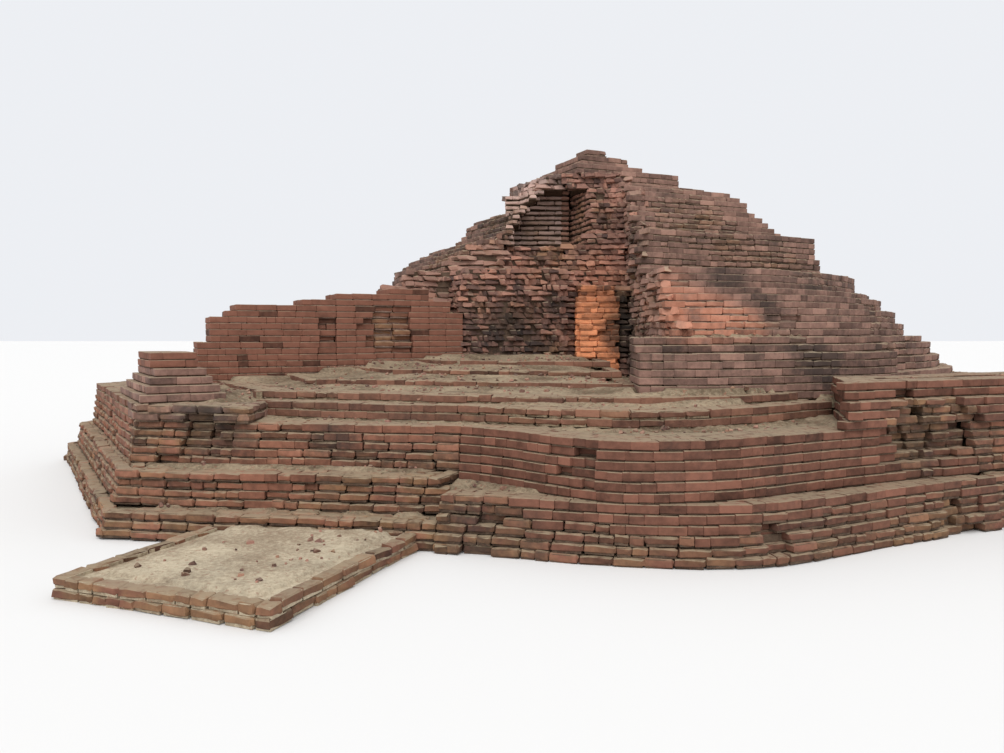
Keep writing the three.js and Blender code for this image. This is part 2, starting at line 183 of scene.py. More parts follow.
# %% [markdown]
# ## The bricks
#
# A fired brick here is about 215 x 105 x 62 mm, and with its bed of mud mortar a course takes
# 72 mm. A brick is a block with softened arrises. Weather rounds it more, and a robbed core is
# full of bats, which are bricks broken across.
#
# One perfect block repeated thousands of times would look like a toy. A dozen patterns are
# enough to break that, when each is also turned, stretched and coloured a little differently. A
# whole brick carries its own patch of mortar, which sits back from the face, so that a brick
# which has slipped takes its joint with it. A bat has lost its mortar.

# %% Model the brick patterns
COURSE = 0.072
BED_JOINT = 0.010
UPRIGHT_JOINT = 0.001
BRICK_LENGTH = 0.215
BRICK_WIDTH = 0.105
BRICK_HEIGHT = COURSE - BED_JOINT
MORTAR_RECESS = 0.009
MORTAR_SHORTER = 0.018
MORTAR_DROP = 0.006

clay = bpy.data.materials.new("clay_pattern")
mud = bpy.data.materials.new("mud_pattern")
patterns = bpy.data.collections.new("brick_patterns")


def block(size, centre, material):
    """A plain block, the start of a brick or of its mortar."""
    bpy.ops.mesh.primitive_cube_add(size=1, location=centre)
    made = bpy.context.object
    made.scale = size
    bpy.ops.object.transform_apply(location=True, rotation=False, scale=True)
    made.data.materials.append(material)
    return made


def mortar_bed():
    """The patch of mud below and behind a whole brick."""
    height = BRICK_HEIGHT + BED_JOINT - MORTAR_DROP
    middle = height / 2 - BRICK_HEIGHT / 2 - BED_JOINT
    size = (BRICK_LENGTH - MORTAR_SHORTER, BRICK_WIDTH - MORTAR_RECESS, height)
    return block(size, (0, MORTAR_RECESS / 2, middle), mud)


def mould_brick(name, arris, wear, seed, cuts, broken=False):
    """A brick with softened arrises, cut or broken across, and roughened by wear."""
    brick = block((BRICK_LENGTH, BRICK_WIDTH, BRICK_HEIGHT), (0, 0, 0), clay)
    edit_all(brick)
    bpy.ops.mesh.bevel(offset=arris, segments=1, affect="EDGES")
    for place, slope in cuts:
        bpy.ops.mesh.select_all(action="SELECT")
        bpy.ops.mesh.bisect(plane_co=place, plane_no=slope, use_fill=broken, clear_outer=broken)
    bpy.ops.mesh.select_all(action="SELECT")
    bpy.ops.transform.vertex_random(offset=wear, uniform=1, normal=0, seed=seed)
    bpy.ops.mesh.normals_make_consistent(inside=False)
    bpy.ops.object.mode_set(mode="OBJECT")
    bpy.ops.object.shade_smooth_by_angle(angle=math.radians(32))
    if not broken:
        brick = joined([brick, mortar_bed()])
    brick.name = name
    for shelf in list(brick.users_collection):
        shelf.objects.unlink(brick)
    patterns.objects.link(brick)


SOUND, WEATHERED, BROKEN = 0, 4, 8
PATTERNS_EACH = 4
WAISTS = [-0.04, 0.03, 0.06, -0.01]
BREAKS = [
    [((0.02, 0, 0), (1, 0.5, 0.2)), ((0, 0, 0.02), (0.2, -0.2, 1))],
    [((-0.03, 0, 0), (-1, 0.3, -0.3)), ((0.06, -0.02, 0), (0.8, -0.7, 0.3))],
    [((0.05, 0, 0), (1, -0.6, 0.4)), ((-0.05, -0.03, 0), (-0.7, -0.8, 0.1))],
    [((0, -0.02, 0), (0.2, -1, 0.3)), ((0.04, 0, 0.01), (0.7, 0.2, 0.8))],
]
for i in range(PATTERNS_EACH):
    waist = [((WAISTS[i], 0, 0), (1, 0.2, 0.1))]
    mould_brick(f"brick_{SOUND + i:02d}_sound", 0.004, 0.0018, i, [])
    mould_brick(f"brick_{WEATHERED + i:02d}_weathered", 0.012, 0.0075, 10 + i, waist)
    mould_brick(f"brick_{BROKEN + i:02d}_broken", 0.010, 0.008, 20 + i, BREAKS[i], broken=True)
faces = [len(brick.data.polygons) for brick in patterns.objects]
print("brick patterns:", len(faces), "with", min(faces), "to", max(faces), "faces each")

# %% [markdown]
# ## The plan of a course
#
# A mason sets out each course as a line on the ground. Here that line is read from the frame:
# every solid mass is cut level through the middle of the course, and the cut is followed round
# into closed outlines. Courses with the same outline, one on another, make a tier.

# %% Cut the solids level at each course
def triangles_of(solid):
    """The corners of a solid's triangles."""
    mesh = solid.data
    mesh.calc_loop_triangles()
    order = np.empty(len(mesh.loop_triangles) * 3, int)
    mesh.loop_triangles.foreach_get("vertices", order)
    return corners_of(solid)[order].reshape(-1, 3, 3)


def level_cut(triangles, height):
    """Short steps round the solid at one height, each with the solid on its left."""
    above = triangles[:, :, 2] > height
    steps = []
    for a, b, c in triangles[above.any(1) & ~above.all(1)]:
        ends = [p + (q - p) * (height - p[2]) / (q[2] - p[2])
                for p, q in ((a, b), (b, c), (c, a)) if (p[2] > height) != (q[2] > height)]
        start, end = ends[0][:2], ends[1][:2]
        outward = np.cross(b - a, c - a)
        along = end - start
        if along[1] * outward[0] - along[0] * outward[1] < 0:
            start, end = end, start
        steps.append((start, end))
    return steps


def outlines(steps, near=0.001):
    """Joins the steps of a cut into closed outlines."""
    found = []
    while steps:
        start, end = steps.pop()
        outline = [start]
        while steps and np.hypot(*(end - outline[0])) > near:
            gaps = [np.hypot(*(end - step[0])) for step in steps]
            here, end = steps.pop(int(np.argmin(gaps)))
            outline.append(here)
        found.append(np.array(outline))
    return found


def tidy_outline(outline, straight=0.012, short=0.004):
    """Drops the points that lie on a straight side or almost on their neighbour."""
    points = [p for i, p in enumerate(outline) if np.hypot(*(p - outline[i - 1])) > short]
    kept = []
    for i, here in enumerate(points):
        a, b = here - points[i - 1], points[(i + 1) % len(points)] - here
        turn = (a[0] * b[1] - a[1] * b[0]) / (np.hypot(*a) * np.hypot(*b))
        if abs(turn) > straight:
            kept.append(here)
    return np.array(kept)


plans, tiers = {}, {}
for node, solid in sorted(frame["nodes"].items()):
    triangles = triangles_of(solid)
    low, high = triangles[:, :, 2].min(), triangles[:, :, 2].max()
    last = None
    for course in range(round(low / COURSE), round(high / COURSE)):
        cut = outlines(level_cut(triangles, (course + 0.5) * COURSE))
        plan = [o for o in (tidy_outline(o) for o in cut) if len(o) > 2]
        plans.setdefault(course, {})[node] = plan
        mark = sorted(tuple(np.round(o, 3).min(0)) + tuple(np.round(o, 3).max(0)) for o in plan)
        if mark != last:
            tiers.setdefault(node, []).append([course, course + 1, plan])
            last = mark
        else:
            tiers[node][-1][1] = course + 1
print("courses:", len(plans), "and tiers:", sum(len(t) for t in tiers.values()))

# %% [markdown]
# ## Is this face open to the air?
#
# Two masses often stand side by side, and a brick between them is never seen. Before a brick is
# laid, a point just outside its face is looked up in the plans of its course. If some solid
# covers that point, the brick is left out, which saves about half of them. The low slab before
# the wing doesn't count as cover, so that the wall behind it stands whole to the ground.

# %% Look a point up in the plans
LOW_SLAB = "apron_slab"
boxes = {}
for course, row in plans.items():
    boxes[course] = [(o.min(0), o.max(0), o) for node in row if node != LOW_SLAB for o in row[node]]


def within(x, y, outline):
    """Whether a point lies inside an outline. It takes one point or a whole grid of them."""
    inside = False
    ax, ay = outline[-1]
    for bx, by in outline:
        if ay != by:
            crossed = x < ax + (bx - ax) * (y - ay) / (by - ay)
            inside = inside ^ (((ay > y) != (by > y)) & crossed)
        ax, ay = bx, by
    return inside


def covered(x, y, course):
    """Whether some solid fills this point at this course."""
    return any(low[0] <= x <= high[0] and low[1] <= y <= high[1] and within(x, y, outline)
               for low, high, outline in boxes.get(course, ()))


def open_sides(outline, course, clear=0.03):
    """Which sides of an outline are open to the air somewhere along them."""
    found = []
    for start, end in zip(outline, np.roll(outline, -1, axis=0)):
        along = (end - start) / np.hypot(*(end - start))
        out = np.array([along[1], -along[0]]) * clear
        probes = [start + (end - start) * share + out for share in (0.06, 0.3, 0.5, 0.7, 0.94)]
        found.append(not all(covered(x, y, course) for x, y in probes))
    return np.array(found)


# %% [markdown]
# ## Runs of wall
#
# A course may stand back from the line below, but only on its open sides: where it meets the
# next mass it has to stay in touch, or a dark slot would open. So each side of an outline is
# moved by its own distance, and the corners are found again.
#
# The outline is then broken into runs at its sharp corners. At a corner that stands out, the
# courses take turns: in one the left run goes through and the right one stops a brick's width
# short, and in the next it is the other way round. Masons call this toothing, and it also sets
# the joints of one course over the middles of the next.

# %% Set-backs, runs and corners
SHARP_TURN = 0.5
NEARLY_STRAIGHT = 0.97
LEAST_AREA = 0.02
ROW = BRICK_WIDTH + UPRIGHT_JOINT


def directions(outline):
    """The directions of an outline's sides."""
    sides = np.roll(outline, -1, axis=0) - outline
    return sides / np.hypot(sides[:, 0], sides[:, 1])[:, None]


def drawn_in(outline, setbacks):
    """An outline with each side moved inwards by its own set-back. None if little is left."""
    sides = directions(outline)
    after = np.stack([-sides[:, 1], sides[:, 0]], 1)
    before = np.roll(after, 1, axis=0)
    far, near = setbacks, np.roll(setbacks, 1)
    alike = (before * after).sum(1)
    sharp = np.maximum(1 - alike * alike, 0.05)
    flat = alike > NEARLY_STRAIGHT
    share_before = np.where(flat, near / (1 + alike), (near - alike * far) / sharp)
    share_after = np.where(flat, far / (1 + alike), (far - alike * near) / sharp)
    moved = outline + before * share_before[:, None] + after * share_after[:, None]
    x, y = moved.T
    area = (x * np.roll(y, -1) - y * np.roll(x, -1)).sum() / 2
    turned = (((np.roll(moved, -1, axis=0) - moved) * sides).sum(1) < 0).any()
    return None if area < LEAST_AREA or (turned and len(outline) < 12) else moved


def runs_of(outline, course):
    """The runs between an outline's sharp corners, as (points, cut at start, cut at end)."""
    count = len(outline)
    sides = directions(outline)
    turns = [math.atan2(a[0] * b[1] - a[1] * b[0], a @ b)
             for a, b in zip(np.roll(sides, 1, axis=0), sides)]
    corners = [i for i in range(count) if abs(turns[i]) > SHARP_TURN]
    if not corners:
        return [(np.concatenate([outline, outline[:1]]), 0, 0)]

    def through(corner):
        """Whether a corner stands out and shows both its faces."""
        if turns[corner] < SHARP_TURN:
            return False
        for side, sign in ((sides[corner - 1], -1), (sides[corner], 1)):
            x, y = outline[corner] + side * sign * 0.08
            if covered(x + side[1] * 0.03, y - side[0] * 0.03, course):
                return False
        return True

    found = []
    for corner, next_corner in zip(corners, corners[1:] + corners[:1]):
        last = next_corner if next_corner > corner else next_corner + count
        points = outline[[i % count for i in range(corner, last + 1)]]
        start = ROW if through(corner) and course % 2 else 0
        end = ROW if through(next_corner) and not course % 2 else 0
        found.append((points, start, end))
    return found


# %% [markdown]
# ## Weather
#
# Old work is not evenly old. The foot of a wall stays damp and crumbles, a patch that was relaid
# looks fresh, and here and there bricks of the face have fallen and left a hole. Slow noise
# gives the patches. The holes, stains and bright patches that really show are listed by their
# place: a point on the wall, how far it reaches, and how deep or strong it is.

# %% Holes, stains, bright patches and slow noise
HOLES = [  # x, y, z, reach, depth, and the chance that a brick is gone
    (2.10, -5.42, 0.82, 0.42, 0.16, 0.20),   # hollow in the block right of the front
    (2.50, -5.25, 0.84, 0.34, 0.13, 0.20),
    (2.45, -5.75, 0.14, 0.32, 0.10, 0.25),   # crumbled foot below it
    (0.57, -6.47, 0.20, 0.17, 0.07, 0.60),   # gap in the foot of the curved wall
    (-0.72, -6.15, 0.63, 0.26, 0.06, 0.30),  # pocket in its upper courses
    (-1.40, -6.15, 0.20, 0.40, 0.05, 0.10),  # sunk courses beside the wing
    (-3.80, -5.25, 0.76, 0.24, 0.07, 0.45),  # pockets in the wing
    (-2.10, -5.60, 0.58, 0.22, 0.06, 0.20),
    (-4.15, -5.20, 0.56, 0.16, 0.08, 0.60),
    (-2.68, -2.00, 1.62, 0.40, 0.10, 0.25),  # hole in the flank wall
    (-3.385, -2.33, 1.72, 0.11, 0.06, 0.60),  # crack beside it
    (-3.36, -2.32, 1.56, 0.10, 0.06, 0.60),
    (-3.35, -2.31, 1.41, 0.09, 0.05, 0.50),
    (1.55, -3.70, 1.74, 0.16, 0.05, 0.50),   # dark crack in the drum
    (0.30, -1.56, 1.70, 0.34, 0.08, 0.10),   # worn side of the pier
    (0.28, -1.56, 2.22, 0.30, 0.10, 0.30),
]
STAINS = [  # x, y, z, reach and strength
    (1.08, -3.45, 2.20, 0.42, 0.60),         # dark wash over the bright panel
    (1.36, -3.62, 1.95, 0.34, 0.45),
    (1.30, -2.70, 2.75, 0.45, 0.35),
    (1.66, -4.45, 1.40, 0.32, 0.50),         # damp patch on the drum's foot
    (0.24, -1.56, 1.64, 0.32, 1.15),         # dark right side of the pier
    (0.16, -1.56, 1.98, 0.24, 0.70),
    (-0.27, -0.65, 3.80, 0.42, 0.45),        # over the niche
    (-0.05, -1.56, 2.30, 0.34, 0.60),        # brown top of the pier
    (-1.10, -1.50, 1.60, 0.52, 0.36),        # damp foot of the broken core
    (-0.62, -1.45, 1.98, 0.26, 0.55),
    (-0.80, -1.00, 2.55, 0.26, 0.45),
    (0.33, -1.60, 2.62, 0.40, 0.50),
    (-3.77, -5.30, 0.80, 0.36, 0.60),        # dark pocket of the wing
    (-2.75, -5.45, 0.86, 0.34, 0.45),
    (2.15, -5.42, 0.70, 0.40, 0.25),
    (-1.40, -6.15, 0.15, 0.50, 0.35),
]
GLOWS = [  # x, y, z, reach and strength
    (0.55, -4.05, 1.74, 0.62, 1.1),          # the bright panel on the drum
    (0.95, -3.98, 1.66, 0.45, 1.1),
    (0.40, -3.75, 2.06, 0.40, 0.8),
    (-1.45, -1.40, 2.40, 0.17, 0.8),         # red bats in the broken core
    (-0.95, -1.40, 2.36, 0.20, 0.6),
    (-0.75, -1.45, 1.90, 0.12, 0.7),
    (-0.28, -1.10, 2.15, 0.22, 0.7),
    (0.00, -1.19, 2.40, 0.42, 0.75),         # the pier's bricks go on above it
]
PATCHES = {  # size in metres, and where in the noise
    "age": (1.1, 7), "face": (0.7, 21), "algae": (1.6, 31), "wave": (1.3, 51),
    "broken_face": (0.30, 11), "broken_glow": (0.30, 5), "plaster": (0.3, 3), "crumbs": (0.9, 77),
}


def damage(x, y, z):
    """How deep a brick has sunk at a point, and the chance that it is gone."""
    sunk, lost = 0.0, 0.0
    for *middle, reach, depth, gone in HOLES:
        away = math.dist((x, y, z), middle) / reach
        if away < 1:
            share = 1 - away * away
            sunk, lost = max(sunk, depth * share), max(lost, gone * share)
    return sunk, lost


def strongest(spots, places):
    """The strongest of some spots at each place, fading to nothing at their reach."""
    found = np.zeros(len(places))
    for *middle, reach, strength in spots:
        away = np.linalg.norm(places - middle, axis=1) / reach
        found = np.maximum(found, strength * (1 - away * away))
    return found


def patch(name, x, y, z):
    """Slow variation over a wall, from -1 to 1."""
    size, seed = PATCHES[name]
    return noise.noise(Vector((x / size + seed, y / size - seed, z / size * 1.6)))


def limited(value):
    """A value held between 0 and 1."""
    return min(1.0, max(0.0, value))


print("holes:", len(HOLES), "stains:", len(STAINS), "bright patches:", len(GLOWS))

# %% [markdown]
# ## How each mass was built
#
# The same rule lays every wall, so what differs is written down as a way of building: the
# finish, how far each course steps back, how uneven the face is, how old the bricks are at the
# foot and how that changes with height, how bright they were fired, how much dark algae has
# grown, how much the courses wave, how full the bed joint is, and the style.

# %% Ways of building
Way = namedtuple("Way", "finish step rough old fresher tone algae wave bed style")
PLAIN, RUBBLE, SHELVED, PLASTERED = "plain", "rubble", "shelved", "plastered"

base = Way("old_brick", 0.010, 0.009, 0.98, 0.040, 0.56, 0.28, 0.016, 1.00, PLAIN)
relaid = Way("relaid_brick", 0.013, 0.005, 0.90, 0.080, 0.50, 0.20, 0.014, 1.00, PLAIN)
drum = Way("stained_brick", 0.002, 0.004, 0.40, 0.0, 0.50, 0.32, 0.010, 1.03, PLAIN)
core = Way("rubble", 0.0, 0.030, 0.55, 0.0, 0.50, 0.22, 0.016, 1.00, RUBBLE)
niche = Way("stained_brick", 0.0, 0.007, 0.50, 0.0, 0.72, 0.30, 0.004, 0.80, SHELVED)
flank = Way("relaid_brick", 0.0, 0.002, 0.14, 0.0, 0.92, 0.12, 0.006, 1.05, PLAIN)
corner = Way("stained_brick", 0.004, 0.004, 0.22, 0.0, 0.45, 0.18, 0.004, 1.02, PLAIN)
step = Way("dry_earth", 0.0, 0.008, 0.48, 0.0, 0.50, 0.22, 0.010, 1.00, PLAIN)

WAYS = {
    "apron_slab": relaid._replace(step=0.0, old=0.92, tone=0.66),
    "curved_wall_lower": relaid._replace(old=0.82),
    "curved_wall_upper": relaid._replace(old=0.72),
    "right_block": relaid._replace(old=1.1, fresher=0.06),
    "corner_platform": corner._replace(old=0.50),
    "corner_steps": corner,
    "corner_block": corner._replace(finish="relaid_brick", old=0.1, tone=0.82),
    "repaired_pier": Way("orange_brick", 0.0, 0.016, 0.35, 0.0, 0.60, 0.08, 0.012, 1.14, PLASTERED),
    "niche_back": niche,
    "niche_cheek": niche._replace(rough=0.012),
    "niche_hood": core._replace(finish="stained_brick", algae=0.40),
    "crown": drum._replace(rough=0.008, old=0.5),
    "drum_east_upper": drum._replace(old=0.55, wave=0.022, rough=0.006),
    "drum_west_upper": drum._replace(old=0.60, rough=0.008),
}
FAMILIES = (("flank_wall", flank), ("rubble_core", core), ("terrace_", step), ("drum_", drum), ("", base))
for node in frame["nodes"]:
    if node not in WAYS and node != "terrace_core":
        WAYS[node] = next(way for start, way in FAMILIES if node.startswith(start))
print("ways of building:", len(set(WAYS.values())), "for", len(WAYS), "masses")

# %% [markdown]
# ## One brick
#
# Along each run the bricks fill the length exactly, and now and then one is halved so that its
# end shows as a header. Each brick then gets its faults: it sits a little in or out, tilts, was
# fired darker or brighter, and has aged. In the broken core the bats are long, thin and askew.
# Plaster once covered the pier, which is bright at its foot and brown towards its worn top.
# Bats on the drum's robbed face and bricks in the niche get painted light: their tone is raised to make
# up for the shade they stand in.

# %% The place and the faults of one brick
Brick = namedtuple("Brick", "place turn size pattern tone old algae glow")
HALVED = 0.16
BAT = 0.115
OVERFIRED, BRIGHT = 0.06, 0.14
PIER_WORN_FROM, PIER_BROWN_FROM = 1.85, 1.75
# Painted light: tone added to bats on the drum's robbed face and to the niche's bricks, to lift the shade
# they stand in.
PAINTED_LIGHT_IN_SHADE = 0.45


def filled(total, usual, rng):
    """Lengths of the bricks, with their joints, that fill a run."""
    count = max(1, round(total / usual))
    lengths = []
    for _ in range(count):
        if count > 2 and rng.random() < HALVED:
            lengths += [0.5, 0.5]
        else:
            lengths.append(rng.uniform(0.88, 1.12))
    whole = total / sum(lengths)
    return [length * whole for length in lengths]


def lay_run(points, start, end, usual, rng):
    """Spots along one run as (x, y, direction, length)."""
    steps = np.hypot(*(points[1:] - points[:-1]).T)
    walked = np.concatenate([[0], np.cumsum(steps)])
    total = walked[-1] - start - end
    if total < 0.03:
        return
    here = start
    for length in filled(total, usual, rng):
        x, y = (np.interp([here, here + length], walked, line) for line in points.T)
        yield (x[0] + x[1]) / 2, (y[0] + y[1]) / 2, math.atan2(y[1] - y[0], x[1] - x[0]), length
        here += length


def fired_tone(way, rng):
    """How bright a brick was fired: most are alike, a few are dark and some are bright."""
    draw = rng.random()
    if draw < OVERFIRED:
        return rng.uniform(0.10, 0.28)
    if draw < BRIGHT:
        return rng.uniform(0.8, 1.0)
    return limited(rng.gauss(way.tone, 0.13))


def one_brick(node, way, style, spot, course, row, rng):
    """A brick at a spot on its course, with its faults, and painted light where it stands in shade."""
    x, y, angle, length = spot
    z = course * COURSE + BED_JOINT + BRICK_HEIGHT / 2
    sunk, gone = damage(x, y, z)
    out = Vector((math.sin(angle), -math.cos(angle)))
    aged = limited(way.old - way.fresher * course + 0.45 * patch("age", x, y, z) + sunk * 8
                   + rng.uniform(-0.12, 0.12))
    loose = way.rough * (0.3 + 1.2 * aged) + sunk * 0.2
    shift = rng.gauss(0, loose) + 0.010 * patch("face", x, y, z) - sunk * rng.uniform(0.6, 1.2)
    tone = fired_tone(way, rng)
    tilt = 0.006 + 0.040 * aged * aged
    size = [(length - UPRIGHT_JOINT) / BRICK_LENGTH, 1.0, way.bed]
    group = WEATHERED
    glow = 0.0
    if style == RUBBLE:
        shift = rng.uniform(-0.030, 0.018) + 0.035 * patch("broken_face", x, y, z) - 0.012
        tilt = 0.08
        size = [size[0] * rng.uniform(1.6, 2.3), rng.uniform(0.8, 1.1), rng.uniform(0.82, 1.15)]
        group = BROKEN
        angle += rng.gauss(0, 0.18)
        # Bats on the drum's robbed face get painted light, a raised tone against their shade.
        tone = 0.5 + 1.9 * (tone - 0.5) + (PAINTED_LIGHT_IN_SHADE if node.startswith("drum_") else 0.0)
        glow = limited(0.9 * patch("broken_glow", x, y, z) - 0.10)
    elif style == SHELVED:
        size[2] = rng.uniform(0.76, 0.85)
        # The niche's bricks get painted light, a raised tone against the shade of the niche.
        tone += PAINTED_LIGHT_IN_SHADE
    elif style == PLASTERED:
        shift -= 0.10 * max(0.0, z - PIER_WORN_FROM) * rng.uniform(0.2, 1.2)
        brown = 1.8 * max(0.0, z - PIER_BROWN_FROM) - 0.4 * patch("plaster", x, y, z)
        tone = limited(0.95 - brown + rng.gauss(0, 0.12))
    elif aged > 0.55:
        size = [size[0] * rng.uniform(0.95, 1.0), 1.0, way.bed * rng.uniform(0.92, 1.0)]
    else:
        group = SOUND
    if rng.random() < gone:
        shift -= rng.uniform(0.015, 0.045)
        size = [size[0] * 0.96, 1.0, 0.95]
        group = WEATHERED
    if row == 0 and style != RUBBLE:
        shift = min(shift, 0.0)
    depth = BRICK_WIDTH / 2 - shift
    level = z + rng.gauss(0, 0.001 + 0.0025 * aged) + way.wave * patch("wave", x, y, 0.0)
    place = (x - out.x * depth, y - out.y * depth, level)
    turn = (rng.gauss(0, tilt * 0.5), rng.gauss(0, tilt * 0.4), angle + rng.gauss(0, tilt))
    algae = limited(way.algae - 0.06 + 0.18 * aged + 0.35 * patch("algae", x, y, z)
                    + rng.uniform(-0.1, 0.1))
    return Brick(place, turn, size, group + rng.randrange(PATTERNS_EACH), tone, aged, algae, glow)


# %% [markdown]
# ## Laying the courses
#
# A brick on the ragged cut where the ruin was robbed belongs to the broken core. The true faces
# are easy to tell: their line passes the axis at the full radius of a round tier, or at the half
# side of a square one. On the west side a round ledge and a square corner share a tier, and
# there a face that looks away from the axis is true as well.
#
# Where no solid covers the top of a course, that top is a ledge, and more rows are laid behind
# the first one to pave it. Bricks that follow a line leave a slot at every inner corner. In the
# hollow these would be black cracks, so the corners are packed with bats, as a mason does.

# %% Tell the style of each spot
HALF_SIDE = math.sqrt(0.5)
FULL_RADIUS = 0.96
NICHE_FROM = 39
LEDGE_ROWS = 3
UNDER = 0.012
AHEAD = 0.04
RAGGED = 0.07


def style_of(node, way, course, spot, back, reach):
    """The style of work at a spot: the node's own, or broken core on a robbed face."""
    x, y, angle, _ = spot
    if node == "rubble_core_east" and course >= NICHE_FROM and math.sin(angle) < -0.5:
        return SHELVED
    if node.startswith("drum_") and "foot" not in node:
        share = (abs(x * math.sin(angle) - y * math.cos(angle)) + back) / reach
        aside = abs(x * math.cos(angle) + y * math.sin(angle)) / math.hypot(x, y)
        round_ledge = "west" in node and aside < 0.10
        if share < FULL_RADIUS and abs(share - HALF_SIDE) > 0.03 and not round_ledge:
            return RUBBLE
    return way.style


def is_hidden(spot, behind, course):
    """Whether the next mass covers the face of a brick all along."""
    x, y, angle, length = spot
    ahead, along_x, along_y = behind + AHEAD, math.cos(angle), math.sin(angle)
    return all(covered(x + along_x * t * length + along_y * ahead,
                       y + along_y * t * length - along_x * ahead, course) for t in (-0.35, 0, 0.35))


def is_wanted(style, spot, course, row, ledge):
    """Whether a brick behind the face would ever be seen: on a ledge, in a hole or in rubble."""
    x, y, angle, _ = spot
    if style == RUBBLE or damage(x, y, (course + 0.5) * COURSE)[0] > 0:
        return row < 2
    return ledge and not covered(x - math.sin(angle) * UNDER, y + math.cos(angle) * UNDER, course + 1)


def spots_on(run, way, row, rng):
    """The spots along a run. Where plaster hid them, the bricks are odd and their ends ragged."""
    points, *cuts = run
    usual = BAT if way.style == RUBBLE else BRICK_LENGTH + UPRIGHT_JOINT
    if way.style == PLASTERED:
        cuts = (rng.uniform(0, RAGGED), rng.uniform(0, RAGGED))
        usual = rng.uniform(0.13, 0.30)
    elif row:
        cuts = (0, 0)
    return lay_run(points, *cuts, usual, rng)


# %% Lay the courses of a node
PACKED_COURSES = range(14, 56)
EAST_CORNER, PIER_SIDE = 0.27, -0.385
PIER_FACE, WEDGE_FACE, NICHE_FACE = -1.56, -1.02, -0.14
PIER_TOP = 31


def lay_course(node, way, plan, course, ledge, back, reach, rng):
    """One course of a node: the row at the face, and the rows behind it."""
    rows = 1 if node == LOW_SLAB else LEDGE_ROWS if ledge else 2
    for outline in plan:
        shown = open_sides(outline, course)
        if not shown.any():
            continue
        for row in range(rows):
            behind = back + row * ROW
            line = drawn_in(outline, np.where(shown, behind, row * ROW))
            if line is None:
                break
            for run in runs_of(line, course):
                for spot in spots_on(run, way, row, rng):
                    if is_hidden(spot, behind, course):
                        continue
                    style = style_of(node, way, course, spot, behind, reach)
                    if row == 0 or is_wanted(style, spot, course, row, ledge):
                        yield one_brick(node, way, style, spot, course, row, rng)


def corner_spots(course):
    """Where bats close the inner corners of the hollow, as (x, y, direction)."""
    east, west = plans[course].get("rubble_core_east"), plans[course].get("rubble_core_west")
    spots = []
    if east:
        front = east[0][:, 1].min()
        spots += [(EAST_CORNER, front - 0.05, -0.8), (EAST_CORNER - 0.06, front - 0.01, -0.3)]
    if west and course < PIER_TOP:
        front = west[0][west[0][:, 0] > west[0][:, 0].max() - 0.01, 1].min()
        spots += [(PIER_SIDE, front + back, 0.1) for back in (0.06, 0.14)]
        spots += [(EAST_CORNER, PIER_FACE + back, -0.2) for back in (0.06, 0.15, 0.24)]
    elif west:
        spots += [(PIER_SIDE + along, WEDGE_FACE, 0.1) for along in (0.0, 0.10, 0.18)]
    elif east:
        spots += [(PIER_SIDE, NICHE_FACE, 0.1)]
    return spots


def reach_of(plan):
    """How far a plan reaches from the axis of the ruin."""
    return max(np.hypot(*outline.T).max() for outline in plan)


def lay_node(node):
    """All the bricks that show on one solid mass."""
    way, rng, bricks = WAYS[node], random.Random(node), []
    for course in PACKED_COURSES if node == "rubble_core_east" else ():
        for x, y, angle in corner_spots(course):
            style = SHELVED if y == NICHE_FACE else RUBBLE
            bricks.append(one_brick(node, way, style, (x, y, angle, BAT), course, 0, rng))
    for first, last, plan in tiers[node]:
        for course in range(first, last):
            back, ledge = way.step * (course - first), course == last - 1
            bricks += lay_course(node, way, plan, course, ledge, back, reach_of(plan), rng)
    return bricks


# %% [markdown]
# ## From places to bricks
#
# Thousands of copies could be made one by one, but that is slow. Geometry Nodes sets an
# instance of the right pattern on every point of a small cloud, turned and stretched by the
# cloud's own attributes, and then makes the instances real. The modifier is applied, so what
# stays is a plain mesh, and each brick keeps its tone, age and algae as attributes that its
# finish reads later. Stains and bright patches don't stop at a joint, so they are added to every
# corner of the mesh by its own place. Node trees are built with two helpers: one fills an input,
# the other adds a node with its inputs filled.

# %% Set patterns on a cloud of points
STAIN_DULLS = 0.7
FIELDS = {"turn": "FLOAT_VECTOR", "size": "FLOAT_VECTOR", "pattern": "INT",
          "tone": "FLOAT", "old": "FLOAT", "algae": "FLOAT", "glow": "FLOAT"}


def fill(tree, target, value):
    """Links a socket to an input, or sets the input's own value."""
    if isinstance(value, bpy.types.NodeSocket):
        tree.links.new(value, target)
    else:
        target.default_value = value


def add(tree, kind, options=None, **values):
    """Adds a node, sets its options and fills its inputs."""
    made = tree.nodes.new(kind)
    for option, value in (options or {}).items():
        setattr(made, option, value)
    for socket, value in values.items():
        fill(tree, made.inputs[socket.replace("_", " ")], value)
    return made


def laying_group():
    """A node group that sets a brick pattern on each point and makes it real."""
    tree = bpy.data.node_groups.new("lay_bricks", "GeometryNodeTree")
    tree.is_modifier = True
    tree.interface.new_socket("Places", in_out="INPUT", socket_type="NodeSocketGeometry")
    tree.interface.new_socket("Bricks", in_out="OUTPUT", socket_type="NodeSocketGeometry")
    places = add(tree, "NodeGroupInput").outputs["Places"]
    kept = {}
    for name in ("turn", "size", "pattern"):
        read = add(tree, "GeometryNodeInputNamedAttribute", {"data_type": FIELDS[name]}, Name=name)
        kept[name] = read.outputs["Attribute"]
    shelf = add(tree, "GeometryNodeCollectionInfo", Collection=patterns,
                Separate_Children=True, Reset_Children=True).outputs["Instances"]
    turned = add(tree, "FunctionNodeEulerToRotation", Euler=kept["turn"]).outputs["Rotation"]
    put = add(tree, "GeometryNodeInstanceOnPoints", Points=places, Instance=shelf,
              Pick_Instance=True, Instance_Index=kept["pattern"], Rotation=turned, Scale=kept["size"])
    real = add(tree, "GeometryNodeRealizeInstances", Geometry=put.outputs["Instances"])
    add(tree, "NodeGroupOutput", Bricks=real.outputs["Geometry"])
    return tree


